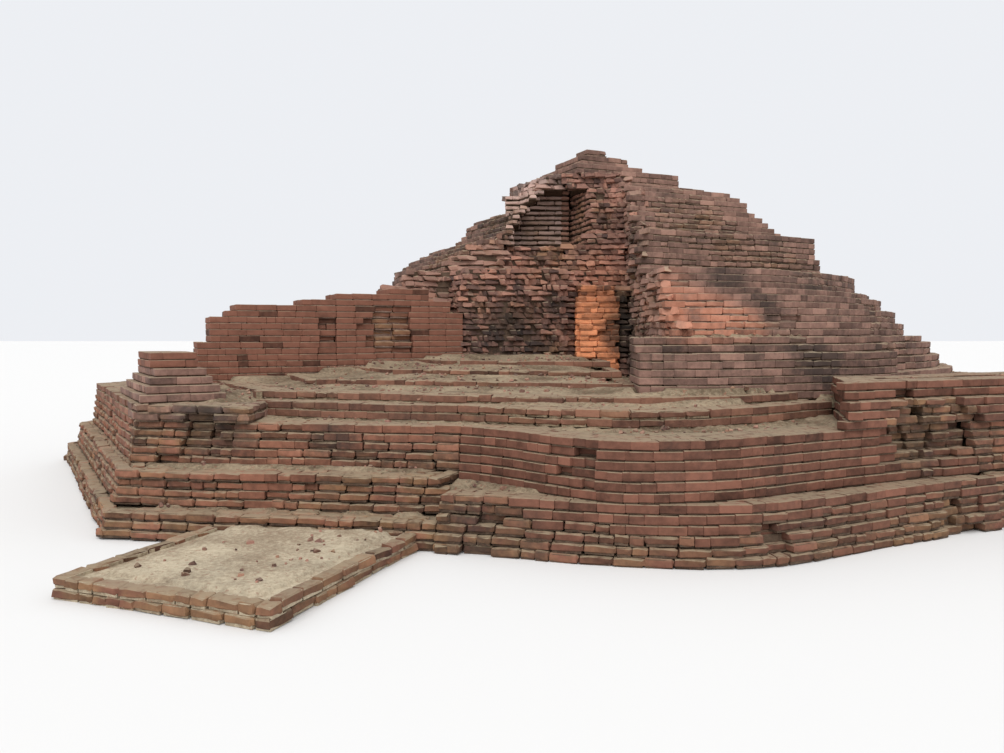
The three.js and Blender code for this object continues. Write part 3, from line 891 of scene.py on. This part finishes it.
laying = laying_group()


def new_piece(name, points, faces):
    """A mesh object from points and faces, selected and active."""
    mesh = bpy.data.meshes.new(name)
    mesh.from_pydata(points, [], faces)
    piece = bpy.data.objects.new(name, mesh)
    bpy.context.scene.collection.objects.link(piece)
    only(piece)
    return piece


def stain_and_brighten(piece):
    """Adds the stains and bright patches corner by corner, so that they run on across joints."""
    corners = corners_of(piece)
    stain, values = strongest(STAINS, corners), np.empty(len(corners))
    algae, glow = (piece.data.attributes[name].data for name in ("algae", "glow"))
    algae.foreach_get("value", values)
    algae.foreach_set("value", np.clip(values + stain, 0, 1))
    glow.foreach_get("value", values)
    values = np.maximum(values, strongest(GLOWS, corners)) * (1 - STAIN_DULLS * stain)
    glow.foreach_set("value", np.clip(values, 0, 1))


def set_bricks(name, bricks):
    """Turns a list of bricks into one mesh."""
    laid = new_piece(name, [brick.place for brick in bricks], [])
    for field, kind in FIELDS.items():
        values = np.array([getattr(brick, field) for brick in bricks])
        slot = "vector" if kind == "FLOAT_VECTOR" else "value"
        laid.data.attributes.new(field, kind, "POINT").data.foreach_set(slot, values.ravel())
    laid.modifiers.new("lay", "NODES").node_group = laying
    bpy.ops.object.modifier_apply(modifier="lay")
    for field in ("turn", "size", "pattern"):
        if field in laid.data.attributes:
            laid.data.attributes.remove(laid.data.attributes[field])
    stain_and_brighten(laid)
    return laid


# %% [markdown]
# ## What is behind the bricks
#
# Where a brick has fallen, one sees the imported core. Each tier gets a block of it, its plan
# drawn in behind the face bricks and raised by one extrusion, so that no gap looks through the
# ruin. Masses with deep holes have their core further back, or the holes would end in a flat
# sheet of mud. A tilted brick may poke a little way out of the measured size of the ruin, so at
# the end every corner is held inside it.

# %% Raise the core of each tier and join it to its bricks
CORE_BEHIND, RUBBLE_CORE_BEHIND, EARTH_CORE_BEHIND = 0.118, 0.07, 0.05
CORE_DEEPER = {"right_block": 0.26, "front_right_wall": 0.26,
               "curved_wall_upper": 0.24, "wing_wall": 0.20}
AT_NEIGHBOUR, THIN = 0.012, 0.03
CORE_BELOW_TOP, EARTH_CORE_BELOW_TOP = 0.014, 0.030
EARTH_NODES = ("terrace", "apron")


def raised_block(line, low, high):
    """A block of core, raised from its outline."""
    made = new_piece("core", [(x, y, low) for x, y in line], [tuple(range(len(line)))[::-1]])
    edit_all(made)
    bpy.ops.mesh.extrude_region_move(TRANSFORM_OT_translate={"value": (0, 0, high - low)})
    bpy.ops.mesh.select_all(action="SELECT")
    bpy.ops.mesh.normals_make_consistent(inside=False)
    bpy.ops.object.mode_set(mode="OBJECT")
    for material in (clay, mud):
        made.data.materials.append(material)
    made.data.polygons.foreach_set("material_index", [1] * len(made.data.polygons))
    return made


def core_setbacks(node, outline, first, last, reach):
    """How far the core stays behind each side: least where the next mass touches."""
    shown = np.any([open_sides(outline, course) for course in range(first, last)], axis=0)
    setbacks = []
    for start, end, is_open in zip(outline, np.roll(outline, -1, axis=0), shown):
        angle = math.atan2(end[1] - start[1], end[0] - start[0])
        spot = (*(start + end) / 2, angle, 0)
        style = style_of(node, WAYS[node], first, spot, 0, reach)
        behind = RUBBLE_CORE_BEHIND if style == RUBBLE else CORE_BEHIND
        if node.startswith(EARTH_NODES):
            behind = EARTH_CORE_BEHIND
        elif first > 0:
            behind = CORE_DEEPER.get(node, behind)
        setbacks.append(behind if is_open else AT_NEIGHBOUR)
    return np.array(setbacks)


def raise_core(node):
    """One block of packed core for each tier of a node, or none where the tier is too thin."""
    below = EARTH_CORE_BELOW_TOP if node.startswith(EARTH_NODES) else CORE_BELOW_TOP
    blocks = []
    for first, last, plan in tiers[node]:
        for outline in plan:
            behind = core_setbacks(node, outline, first, last, reach_of(plan))
            for most in (math.inf, THIN, AT_NEIGHBOUR):
                line = drawn_in(outline, np.minimum(behind, most))
                if line is not None:
                    blocks.append(raised_block(line, first * COURSE, last * COURSE - below))
                    break
    return blocks


def hand_in(piece, finish):
    """Holds a piece inside the measured size of the ruin and fixes it in the frame."""
    piece.data.vertices.foreach_set("co", np.clip(corners_of(piece), *cad_box).ravel())
    piece.data.update()
    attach(piece, "root")


walls = {}
laid_total = 0
for node in sorted(WAYS):
    bricks = lay_node(node)
    laid_total += len(bricks)
    walls[node] = joined([set_bricks(node + "_bricks", bricks), *raise_core(node)])
    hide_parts(node)
    hand_in(walls[node], WAYS[node].finish)
print("bricks laid:", laid_total)

# %% [markdown]
# ## Earth on the terrace and the ledges
#
# Wind and rain have left soil on every level place, deepest against the foot of a wall and
# thinnest at an edge, where the bricks come through. Sculpting that by hand would take days. It
# is made as a sheet instead: a grid gets the height of the highest solid below each point, that
# height is smoothed, and the sheet follows the smooth height where it can.
#
# Each point of the grid takes the lowest height among its neighbours. So the sheet runs a little
# way in under the wall behind it and stops short of the open edge in front of it. Where it would
# have to climb a wall, its faces are deleted. What is left has a saw-toothed rim, so the rim is
# pushed down below the tops of the bricks and the earth thins out to nothing before it.

# %% Map the heights of the solids
CELL = 0.05
MARGIN = 0.3
REACH = 2
xs, ys = (np.arange(cad_box[0][i] - MARGIN, cad_box[1][i] + MARGIN, CELL) for i in (0, 1))
grid_x, grid_y = np.meshgrid(xs, ys)
BARE, LEDGE, TERRACE, APRON = range(4)
BARE_NODES = ("crown", "corner_block", "corner_steps")


def ground_of(node):
    """The kind of ground on top of a node."""
    if node.startswith("terrace"):
        return TERRACE
    if node == LOW_SLAB:
        return APRON
    return BARE if WAYS[node].style != PLAIN or node in BARE_NODES else LEDGE


heights = np.zeros(grid_x.shape)
ground = np.full(grid_x.shape, BARE)
for node, rows in tiers.items():
    for first, last, plan in rows:
        for outline in plan:
            higher = within(grid_x, grid_y, outline) & (heights < last * COURSE - 0.001)
            heights[higher] = last * COURSE
            ground[higher] = ground_of(node)

around = [(i, j) for i in range(-REACH, REACH + 1) for j in range(-REACH, REACH + 1)]
stack, kinds = (np.array([np.roll(values, shift, (0, 1)) for shift in around])
                for values in (heights, ground))
lowest = stack.argmin(0)[None]
level, kind = (np.take_along_axis(values, lowest, 0)[0] for values in (stack, kinds))
print("grid:", grid_x.shape, "highest:", round(float(heights.max()), 3))

# %% Smooth the heights into a sheet of earth
HIGHEST_SLOPE = 20 * COURSE
WIDE_SLOPE, NARROW_SLOPE = 0.22, 0.10
BUMPS_A_METRE = 2.3
SOFT_STEP, HARD_STEP = 1.5 * COURSE, 0.01
RIM_BELOW, NEAR_RIM_BELOW = 0.07, 0.012


def smoothed(values, spread):
    """Values blurred over a distance in metres."""
    reach = int(3 * spread / CELL) + 1
    offsets = np.arange(-reach, reach + 1) * CELL
    weights = np.exp(-(offsets / spread) ** 2 / 2)
    weights /= weights.sum()
    for axis in (0, 1):
        values = np.apply_along_axis(np.convolve, axis, values, weights, "same")
    return values


def bump(x, y):
    """How far the bare ground rises or dips at a point, from -1 to 1."""
    return noise.fractal(Vector((x * BUMPS_A_METRE, y * BUMPS_A_METRE, 0.4)), 0.9, 2.1, 5)


gentle = smoothed(np.minimum(heights, HIGHEST_SLOPE), WIDE_SLOPE) - level
close = smoothed(heights, NARROW_SLOPE) - level
bumps = np.array([[bump(x, y) for x in xs] for y in ys])
rise = {
    LEDGE: -0.020 + np.clip(close * 0.5, -0.035, 0.045) + 0.010 * bumps,
    TERRACE: -0.010 + np.clip(gentle, -0.060, 0.060) + 0.016 * bumps,
    APRON: -0.004 + np.clip(close * 0.5, -0.030, 0.040) + 0.010 * bumps,
}
sheet = level + np.select([kind == k for k in rise], list(rise.values()), 0.0)
inner_spots = []


def lay_earth(name, wanted):
    """A sheet of earth over the kinds of ground that are wanted."""
    bpy.ops.mesh.primitive_grid_add(x_subdivisions=len(xs) - 1, y_subdivisions=len(ys) - 1, size=2)
    earth = bpy.context.object
    earth.name = name
    places = np.stack([grid_x, grid_y, sheet], -1).reshape(-1, 3)
    its_level, its_kind = level.ravel(), kind.ravel()

    corners = np.empty(len(earth.data.polygons) * 4, int)
    earth.data.polygons.foreach_get("vertices", corners)
    corners = corners.reshape(-1, 4)
    top = its_level[corners]
    soft = (its_kind[corners] == TERRACE).all(1)
    climbs = top.max(1) - top.min(1) > np.where(soft, SOFT_STEP, HARD_STEP)
    unwanted = ~np.isin(its_kind[corners], wanted).all(1) | (top.min(1) < 0.01) | climbs

    rim = np.unique(corners[unwanted])
    near_rim = np.unique(corners[np.isin(corners, rim).any(1)])
    places[near_rim, 2] = np.minimum(places[near_rim, 2], its_level[near_rim] - NEAR_RIM_BELOW)
    places[rim, 2] = its_level[rim] - RIM_BELOW
    inner_spots.extend(places[np.setdiff1d(np.unique(corners[~unwanted]), near_rim)].tolist())
    earth.data.vertices.foreach_set("co", places.ravel())

    bpy.ops.object.mode_set(mode="EDIT")
    bpy.ops.mesh.select_mode(type="FACE")
    bpy.ops.object.mode_set(mode="OBJECT")
    earth.data.polygons.foreach_set("select", unwanted)
    bpy.ops.object.mode_set(mode="EDIT")
    bpy.ops.mesh.delete(type="FACE")
    bpy.ops.object.mode_set(mode="OBJECT")
    bpy.ops.object.shade_smooth()
    hand_in(earth, "dry_earth")
    print(name, "has", len(earth.data.polygons), "faces")
    return earth


terrace_earth = lay_earth("terrace_and_ledge_earth", (LEDGE, TERRACE))
apron_earth = lay_earth("apron_earth", (APRON,))

# %% [markdown]
# ### Crumbs of brick
#
# Old brick sheds crumbs, and they lie on the soil in drifts. They are the broken patterns again,
# made small, and scattered on points of the earth sheet. A slow noise thins them out so that
# they gather in places, as they do where water has carried them.

# %% Scatter crumbs on the earth
CRUMBS = 3600
scatter = random.Random("crumbs")
crumbs = []
for x, y, z in scatter.sample(inner_spots, CRUMBS):
    if patch("crumbs", x, y, 0.0) < scatter.uniform(-0.3, 0.3):
        continue
    grown = 0.12 + 0.26 * scatter.random() ** 2
    size = [grown * 0.7, grown * 1.2, grown * 1.5]
    turn = (scatter.uniform(-0.5, 0.5), scatter.uniform(-0.5, 0.5), scatter.uniform(0, math.tau))
    place = (x + scatter.uniform(-0.5, 0.5) * CELL, y + scatter.uniform(-0.5, 0.5) * CELL, z + 0.004)
    crumbs.append(Brick(place, turn, size, BROKEN + scatter.randrange(PATTERNS_EACH),
                        scatter.random(), scatter.uniform(0.3, 0.9), 0.1, 0.0))
crumb_piece = set_bricks("fallen_brick_crumbs", crumbs)
hand_in(crumb_piece, "rubble")
print("crumbs:", len(crumbs))

# %% [markdown]
# ## Finishes
#
# A finish is built from a few effects that several materials share. Each effect is a node group
# with named inputs and outputs, built once. The helpers below add one node each, so that a
# material reads as a recipe.

# %% Helpers for finishes
def maths(tree, operation, first, second, clamp=False):
    """One step of arithmetic."""
    made = add(tree, "ShaderNodeMath", {"operation": operation, "use_clamp": clamp})
    fill(tree, made.inputs[0], first)
    fill(tree, made.inputs[1], second)
    return made.outputs[0]


def times(tree, first, second):
    """Two values multiplied."""
    return maths(tree, "MULTIPLY", first, second)


def plus(tree, first, second, clamp=False):
    """Two values added."""
    return maths(tree, "ADD", first, second, clamp)


def mixed(tree, share, first, second):
    """Two colours mixed by a share."""
    made = add(tree, "ShaderNodeMix", {"data_type": "RGBA", "clamp_factor": True})
    for index, value in ((0, share), (6, first), (7, second)):
        fill(tree, made.inputs[index], value)
    return made.outputs[2]


def stepped(tree, value, low, high):
    """A value spread from 0 to 1 between two limits, with soft ends."""
    soft = {"interpolation_type": "SMOOTHSTEP"}
    return add(tree, "ShaderNodeMapRange", soft, Value=value, From_Min=low, From_Max=high).outputs[0]


def here(tree):
    """The place on the piece, in its own metres."""
    return add(tree, "ShaderNodeTexCoord").outputs["Object"]


def clouds(tree, scale, detail=4.0, rough=0.55, stretch=None):
    """Soft noise at a scale in cells a metre."""
    place = here(tree)
    if stretch:
        place = add(tree, "ShaderNodeMapping", Vector=place, Scale=stretch).outputs["Vector"]
    made = add(tree, "ShaderNodeTexNoise", Vector=place, Scale=scale, Detail=detail, Roughness=rough)
    return made.outputs["Fac"]


def stored(tree, name):
    """A number that each brick keeps."""
    return add(tree, "ShaderNodeAttribute", {"attribute_name": name}).outputs["Fac"]


def effect(name, inputs, output, kind="Float"):
    """An empty node group with named sockets, its inputs, and the input of its one output."""
    tree = bpy.data.node_groups.new(name, "ShaderNodeTree")
    for label, value in inputs.items():
        sort = "Color" if isinstance(value, tuple) else "Float"
        made = tree.interface.new_socket(label, in_out="INPUT", socket_type="NodeSocket" + sort)
        made.default_value = value
    tree.interface.new_socket(output, in_out="OUTPUT", socket_type="NodeSocket" + kind)
    return tree, add(tree, "NodeGroupInput").outputs, add(tree, "NodeGroupOutput").inputs[0]


def use(tree, group, **values):
    """Places an effect in a material, fills its inputs and gives its output."""
    return add(tree, "ShaderNodeGroup", {"node_tree": group}, **values).outputs[0]


# %% [markdown]
# ### Shared effects
#
# *Kiln tone* gives each brick its own red, from the heat it was fired in, and turns it brown
# and ochre as it ages. *Algae* is the dark crust that rain feeds: it comes in patches and runs
# down the wall in streaks. *Dust* lies on whatever faces up, which is why every stepped course
# shows a pale line. *Grain* is the sandy, pitted skin, and drives the bump.
# The tone also carries painted light: bats on the drum's robbed face and bricks in the niche have a
# raised tone against the shade they stand in.

# %% Kiln tone
OCHRE_DEEP, OCHRE_BRIGHT = (0.070, 0.038, 0.022, 1), (0.300, 0.165, 0.085, 1)
ORANGE_DEEP, ORANGE_BRIGHT = (0.34, 0.140, 0.085, 1), (0.64, 0.290, 0.190, 1)

kiln, given, kiln_colour = effect(
    "kiln_tone",
    {"Tone": 0.5, "Old": 0.5, "Glow": 0.0, "Deep": (0.1, 0.04, 0.03, 1), "Bright": (0.3, 0.12, 0.08, 1)},
    "Color", "Color",
)
blotches = times(kiln, plus(kiln, clouds(kiln, 13.0, 6.0, 0.65), -0.5), 1.3)
# The tone is the firing, and for shaded rubble bats and niche bricks it also holds painted light.
heat = plus(kiln, given["Tone"], blotches, clamp=True)
fired = mixed(kiln, heat, given["Deep"], given["Bright"])
ochre = mixed(kiln, heat, OCHRE_DEEP, OCHRE_BRIGHT)
old_patches = stepped(kiln, clouds(kiln, 3.1, 5.0), 0.36, 0.60)
aged_share = times(kiln, stepped(kiln, given["Old"], 0.40, 1.05), old_patches)
weathered = mixed(kiln, aged_share, fired, ochre)
orange = mixed(kiln, heat, ORANGE_DEEP, ORANGE_BRIGHT)
lit = times(kiln, given["Glow"], stepped(kiln, clouds(kiln, 4.3, 5.0), 0.22, 0.50))
fill(kiln, kiln_colour, mixed(kiln, lit, weathered, orange))

# %% Algae, dust and grain
algae, given, algae_mask = effect("algae", {"Amount": 0.4}, "Mask")
broad = times(algae, clouds(algae, 1.1, 5.0, 0.62), 0.42)
streaks = times(algae, clouds(algae, 3.4, 4.0, 0.6, stretch=(1, 1, 0.22)), 0.28)
fine = times(algae, clouds(algae, 24.0, 6.0, 0.7), 0.30)
crust_pattern = plus(algae, broad, plus(algae, streaks, fine))
spread = plus(algae, crust_pattern, times(algae, given["Amount"], 0.42))
fill(algae, algae_mask, stepped(algae, spread, 0.58, 0.88))

dust, given, dust_mask = effect("dust", {"Amount": 0.6}, "Mask")
normal = add(dust, "ShaderNodeNewGeometry").outputs["Normal"]
upward = add(dust, "ShaderNodeSeparateXYZ", Vector=normal).outputs["Z"]
drifts = stepped(dust, clouds(dust, 14.0, 5.0, 0.65), 0.25, 0.55)
lying = times(dust, stepped(dust, upward, 0.30, 0.80), drifts)
fill(dust, dust_mask, times(dust, lying, given["Amount"]))

grain, given, grain_height = effect("grain", {"Coarse": 0.5}, "Height")
sand = times(grain, clouds(grain, 260.0, 3.0, 0.6), 0.22)
lumps = times(grain, clouds(grain, 46.0, 5.0, 0.65), 0.9)
cells = add(grain, "ShaderNodeTexVoronoi", Vector=here(grain), Scale=75.0).outputs["Distance"]
worn = plus(grain, lumps, times(grain, cells, 0.35))
fill(grain, grain_height, plus(grain, times(grain, worn, given["Coarse"]), sand))
print("shared effects:", ", ".join(group.name for group in (kiln, algae, dust, grain)))

# %% [markdown]
# ### Brick, mortar and earth
#
# Every brick finish is the same recipe with other amounts, because the bricks came from the same
# clay. What differs is how red the clay fired, how much algae sits on it and how dusty it is.
# The niche lies in deep shade, so its bricks are paler to read at all.

# %% Finishes of the bricks
ALGAE_COLOUR = (0.030, 0.027, 0.025, 1)
DUST_COLOUR = (0.30, 0.235, 0.155, 1)
CRUMB_COLOUR = (0.26, 0.115, 0.075, 1)
CRUST_COVER = 0.80


def new_finish(name, roughness, gloss):
    """A new material, its node tree and its shader's inputs."""
    material = bpy.data.materials.new(name)
    material.use_nodes = True
    shader = material.node_tree.nodes["Principled BSDF"]
    shader.inputs["Roughness"].default_value = roughness
    shader.inputs["Specular IOR Level"].default_value = gloss
    return material, material.node_tree, shader.inputs


def weathered_skin(tree, skin, colour, crust, dusty, coarse, depth):
    """Lays algae and dust over a colour, and bumps the surface."""
    stained = mixed(tree, crust, colour, ALGAE_COLOUR)
    fill(tree, skin["Base Color"], mixed(tree, use(tree, dust, Amount=dusty), stained, DUST_COLOUR))
    height = use(tree, grain, Coarse=coarse)
    bumped = add(tree, "ShaderNodeBump", Height=height, Distance=depth, Strength=0.85)
    fill(tree, skin["Normal"], bumped.outputs["Normal"])


def brick_finish(name, deep, bright, algae_amount, dusty, coarse):
    """A fired brick face with its age, algae, dust and grain."""
    material, tree, skin = new_finish(name, 0.88, 0.2)
    face = use(tree, kiln, Tone=stored(tree, "tone"), Old=stored(tree, "old"),
               Glow=stored(tree, "glow"), Deep=(*deep, 1), Bright=(*bright, 1))
    crust = use(tree, algae, Amount=times(tree, stored(tree, "algae"), algae_amount))
    weathered_skin(tree, skin, face, times(tree, crust, CRUST_COVER), dusty, coarse, 0.006)
    return material


FINISHES = {name: brick_finish(name, *amounts) for name, *amounts in (
    ("old_brick", (0.095, 0.041, 0.027), (0.345, 0.150, 0.095), 1.0, 0.80, 0.8),
    ("relaid_brick", (0.066, 0.030, 0.020), (0.245, 0.106, 0.070), 1.0, 0.80, 0.5),
    ("stained_brick", (0.115, 0.066, 0.052), (0.380, 0.220, 0.170), 1.1, 0.75, 0.6),
    ("orange_brick", (0.160, 0.066, 0.038), (0.860, 0.330, 0.155), 0.9, 0.35, 1.0),
    ("rubble", (0.105, 0.063, 0.054), (0.420, 0.215, 0.160), 1.1, 0.50, 1.0),
    ("dry_earth", (0.090, 0.042, 0.030), (0.300, 0.145, 0.095), 1.0, 0.85, 0.9),
    # A paler copy of the brick for the niche: painted light against its deep shade.
    ("niche_brick_painted_light", (0.170, 0.118, 0.100), (0.560, 0.385, 0.330), 1.0, 0.65, 0.6),
)}
print("brick finishes:", ", ".join(FINISHES))


# %% Finishes of the mortar and the earth
def earth_finish(name, deep, bright, coarse, stones, dusty):
    """Dry soil or mud mortar, with brick crumbs in it."""
    material, tree, skin = new_finish(name, 0.97, 0.15)
    broad_tint = times(tree, clouds(tree, 2.2, 5.0, 0.6), 0.55)
    tint = plus(tree, broad_tint, times(tree, clouds(tree, 30.0, 5.0, 0.7), 0.45))
    soil = mixed(tree, stepped(tree, tint, 0.36, 0.64), (*deep, 1), (*bright, 1))
    crumbs_share = stepped(tree, clouds(tree, 38.0, 3.0, 0.5), 0.60, 0.68)
    soil = mixed(tree, times(tree, crumbs_share, stones), soil, CRUMB_COLOUR)
    crust = times(tree, use(tree, algae, Amount=0.30), 0.5)
    weathered_skin(tree, skin, soil, crust, dusty, coarse, 0.010)
    return material


SOILS = {name: earth_finish(name, *amounts) for name, *amounts in (
    ("washed_out_mortar", (0.055, 0.036, 0.026), (0.15, 0.100, 0.068), 0.8, 0.2, 0.9),
    ("pale_mortar", (0.17, 0.105, 0.080), (0.36, 0.250, 0.195), 0.5, 0.1, 0.9),
    ("orange_mortar", (0.24, 0.095, 0.050), (0.46, 0.190, 0.095), 0.8, 0.0, 0.3),
    ("terrace_soil", (0.12, 0.085, 0.053), (0.38, 0.295, 0.195), 1.0, 0.8, 0.0),
    ("apron_soil", (0.26, 0.195, 0.130), (0.55, 0.465, 0.330), 1.0, 0.5, 0.0),
)}
JOINTS = (("flank_wall", "pale_mortar"), ("drum_east_lower", "pale_mortar"),
          ("repaired_pier", "orange_mortar"), ("terrace", "terrace_soil"),
          ("apron", "apron_soil"), ("", "washed_out_mortar"))
for node, wall in walls.items():
    # The niche's walls take the paler brick, painted light against their shade.
    face = "niche_brick_painted_light" if node.startswith("niche_") else WAYS[node].finish
    wall.data.materials[0] = FINISHES[face]
    wall.data.materials[1] = SOILS[next(soil for start, soil in JOINTS if node.startswith(start))]
crumb_piece.data.materials[0] = FINISHES["rubble"]
for earth, soil in ((terrace_earth, "terrace_soil"), (apron_earth, "apron_soil"),
                    (frame["nodes"]["terrace_core"], "terrace_soil")):
    earth.data.materials.clear()
    earth.data.materials.append(SOILS[soil])

studio, _, studio_skin = new_finish("studio_floor", 0.95, 0.5)
studio_skin["Base Color"].default_value = (0.72, 0.71, 0.69, 1)
floor.data.materials.append(studio)
print("mortars and soils:", ", ".join(SOILS))

# %% [markdown]
# ## Clear the bench
#
# The patterns have done their work. They are taken out, and the triangles of the finished
# model are counted.

# %% Clear up and count the triangles
for brick in list(patterns.objects):
    bpy.data.objects.remove(brick)
bpy.data.collections.remove(patterns)
triangle_count = 0
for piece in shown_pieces():
    piece.data.calc_loop_triangles()
    triangle_count += len(piece.data.loop_triangles)
print("triangles:", triangle_count)
